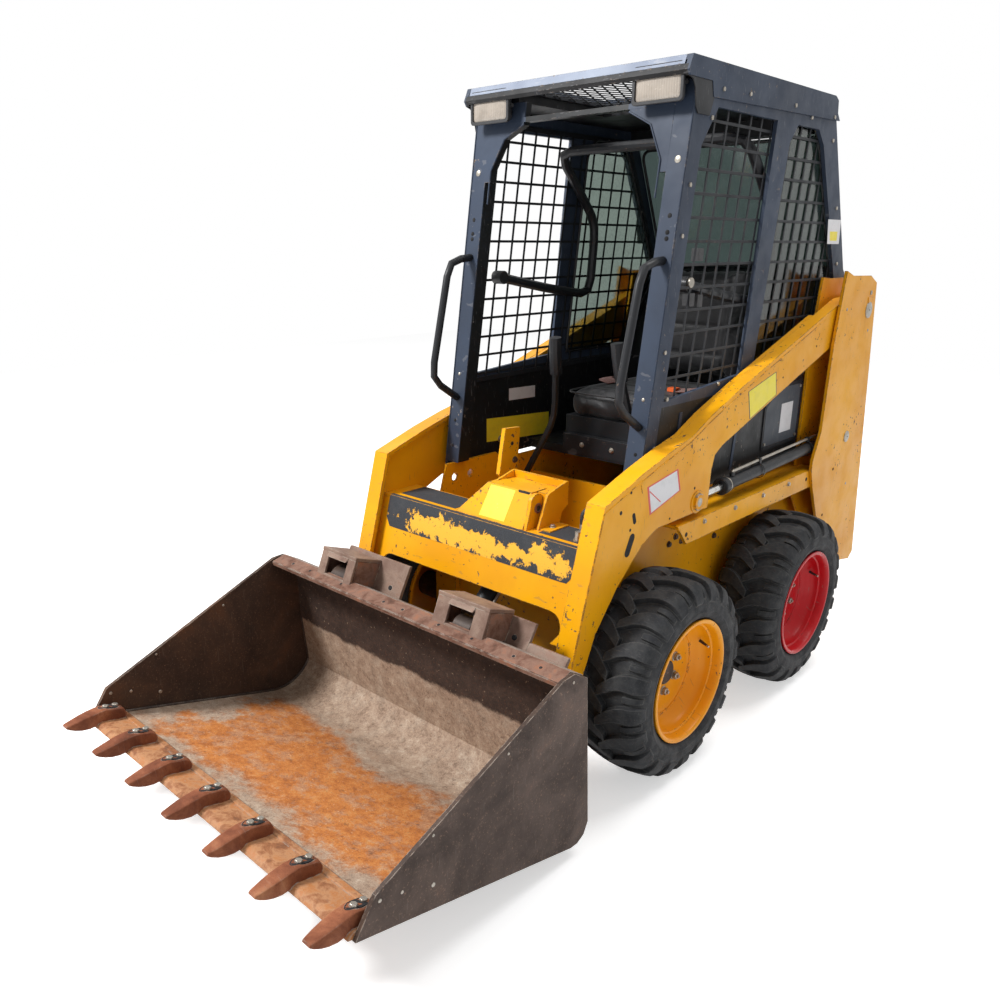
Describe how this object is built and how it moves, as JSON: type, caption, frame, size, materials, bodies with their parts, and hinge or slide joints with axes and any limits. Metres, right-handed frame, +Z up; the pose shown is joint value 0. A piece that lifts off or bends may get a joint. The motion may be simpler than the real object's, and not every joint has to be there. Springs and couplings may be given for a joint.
{
  "type": "skid steer loader",
  "caption": "Compact skid steer loader with a toothed bucket, raising lift arms, hydraulic cylinders, an open-front caged cab and freely turning wheels.",
  "frame": {"origin": "middle of the bounding box's base, on the ground under the wheels", "axes": "+Z up, the machine faces -Y, +X is the operator's left"},
  "size_m": [1.15, 2.65, 1.81],
  "materials": {
    "yellow_paint": "glossy yellow enamel, scratched and chipped at edges",
    "cab_paint": "satin slate blue-grey enamel, scuffed",
    "black_parts": "satin black",
    "dark_steel": "worn dark brown steel with rust and scratches",
    "rusty_steel": "rusty forged steel",
    "bare_steel": "ground hard chrome rod",
    "tyre": "dusty matt rubber",
    "front_rim_paint": "glossy orange-yellow enamel",
    "rear_rim_paint": "glossy red enamel",
    "tinted_glass": "clear tinted safety glass",
    "lamp_lens": "ribbed clear lens over a reflector",
    "seat_vinyl": "black grained vinyl"
  },
  "bodies": {
    "machine": {"chassis_frame": "yellow_paint", "engine_block": "black_parts", "left_front_axle": "dark_steel", "right_front_axle": "dark_steel", "left_rear_axle": "dark_steel", "right_rear_axle": "dark_steel", "left_upright": "yellow_paint", "right_upright": "yellow_paint", "rear_bumper": "yellow_paint", "engine_hood": "black_parts", "left_gate_post": "black_parts", "right_gate_post": "black_parts", "cab_frame": "cab_paint", "cab_roof": "cab_paint", "left_work_light": "lamp_lens", "right_work_light": "lamp_lens", "left_side_grille": "black_parts", "right_side_grille": "black_parts", "rear_window": "tinted_glass", "seat_base": "black_parts", "seat_cushion": "seat_vinyl", "seat_backrest": "seat_vinyl", "seat_bar": "black_parts", "left_steering_lever": "black_parts", "right_steering_lever": "black_parts", "left_grab_handle": "black_parts", "right_grab_handle": "black_parts"},
    "tailgate": {"tailgate": "yellow_paint"},
    "lift_arms": {"left_lift_arm": "yellow_paint", "right_lift_arm": "yellow_paint", "cross_member": "yellow_paint", "cylinder_guard": "yellow_paint"},
    "bucket": {"bucket_shell": "dark_steel", "cutting_edge": "rusty_steel", "quick_attach": "dark_steel"},
    "left_lift_barrel": {"left_lift_barrel": "black_parts"},
    "right_lift_barrel": {"right_lift_barrel": "black_parts"},
    "left_lift_rod": {"left_lift_rod": "bare_steel"},
    "right_lift_rod": {"right_lift_rod": "bare_steel"},
    "tilt_barrel": {"tilt_barrel": "black_parts"},
    "tilt_rod": {"tilt_rod": "bare_steel"},
    "left_front_wheel": {"left_front_tyre": "tyre", "left_front_rim": "front_rim_paint"},
    "left_rear_wheel": {"left_rear_tyre": "tyre", "left_rear_rim": "rear_rim_paint"},
    "right_front_wheel": {"right_front_tyre": "tyre", "right_front_rim": "front_rim_paint"},
    "right_rear_wheel": {"right_rear_tyre": "tyre", "right_rear_rim": "rear_rim_paint"}
  },
  "joints": [
    {"name": "lift", "type": "hinge", "parent": "machine", "child": "lift_arms", "pos_m": [0, 1.13001, 1.179], "axis": [-1, 0, 0], "range_deg": [0, 70]},
    {"name": "bucket_tilt", "type": "hinge", "parent": "lift_arms", "child": "bucket", "pos_m": [0, -0.49999, 0.13], "axis": [1, 0, 0], "range_deg": [-12, 127]},
    {"name": "tailgate_door", "type": "hinge", "parent": "machine", "child": "tailgate", "pos_m": [0.303, 1.28401, 0.64], "axis": [0, 0, -1], "range_deg": [0, 100]},
    {"name": "left_lift_swing", "type": "hinge", "parent": "machine", "child": "left_lift_barrel", "pos_m": [0.408, 1.09001, 0.745], "axis": [-1, 0, 0], "range_deg": [0, 60.74]},
    {"name": "left_lift_stroke", "type": "slide", "parent": "left_lift_barrel", "child": "left_lift_rod", "axis": [0, -0.9996, -0.028], "range_m": [0, 0.46015]},
    {"name": "right_lift_swing", "type": "hinge", "parent": "machine", "child": "right_lift_barrel", "pos_m": [-0.408, 1.09001, 0.745], "axis": [-1, 0, 0], "range_deg": [0, 60.74]},
    {"name": "right_lift_stroke", "type": "slide", "parent": "right_lift_barrel", "child": "right_lift_rod", "axis": [0, -0.9996, -0.028], "range_m": [0, 0.46015]},
    {"name": "tilt_swing", "type": "hinge", "parent": "lift_arms", "child": "tilt_barrel", "pos_m": [0.03, -0.14999, 0.64], "axis": [1, 0, 0], "range_deg": [-0.66, 6.78]},
    {"name": "tilt_stroke", "type": "slide", "parent": "tilt_barrel", "child": "tilt_rod", "axis": [0, -0.7071, -0.7071], "range_m": [-0.02627, 0.27705]},
    {"name": "left_front_wheel_spin", "type": "hinge", "parent": "machine", "child": "left_front_wheel", "pos_m": [0.467, -0.11149, 0.286], "axis": [1, 0, 0], "continuous": true},
    {"name": "left_rear_wheel_spin", "type": "hinge", "parent": "machine", "child": "left_rear_wheel", "pos_m": [0.467, 0.61151, 0.286], "axis": [1, 0, 0], "continuous": true},
    {"name": "right_front_wheel_spin", "type": "hinge", "parent": "machine", "child": "right_front_wheel", "pos_m": [-0.467, -0.11149, 0.286], "axis": [1, 0, 0], "continuous": true},
    {"name": "right_rear_wheel_spin", "type": "hinge", "parent": "machine", "child": "right_rear_wheel", "pos_m": [-0.467, 0.61151, 0.286], "axis": [1, 0, 0], "continuous": true}
  ],
  "couplings": [
    {"joint": "left_lift_swing", "follows": "lift", "ratio": 0.86739},
    {"joint": "left_lift_stroke", "follows": "lift", "m_per_rad": 0.37655},
    {"joint": "right_lift_swing", "follows": "lift", "ratio": 0.86739},
    {"joint": "right_lift_stroke", "follows": "lift", "m_per_rad": 0.37655},
    {"joint": "tilt_swing", "follows": "bucket_tilt", "ratio": 0.053232},
    {"joint": "tilt_stroke", "follows": "bucket_tilt", "m_per_rad": 0.12494}
  ]
}
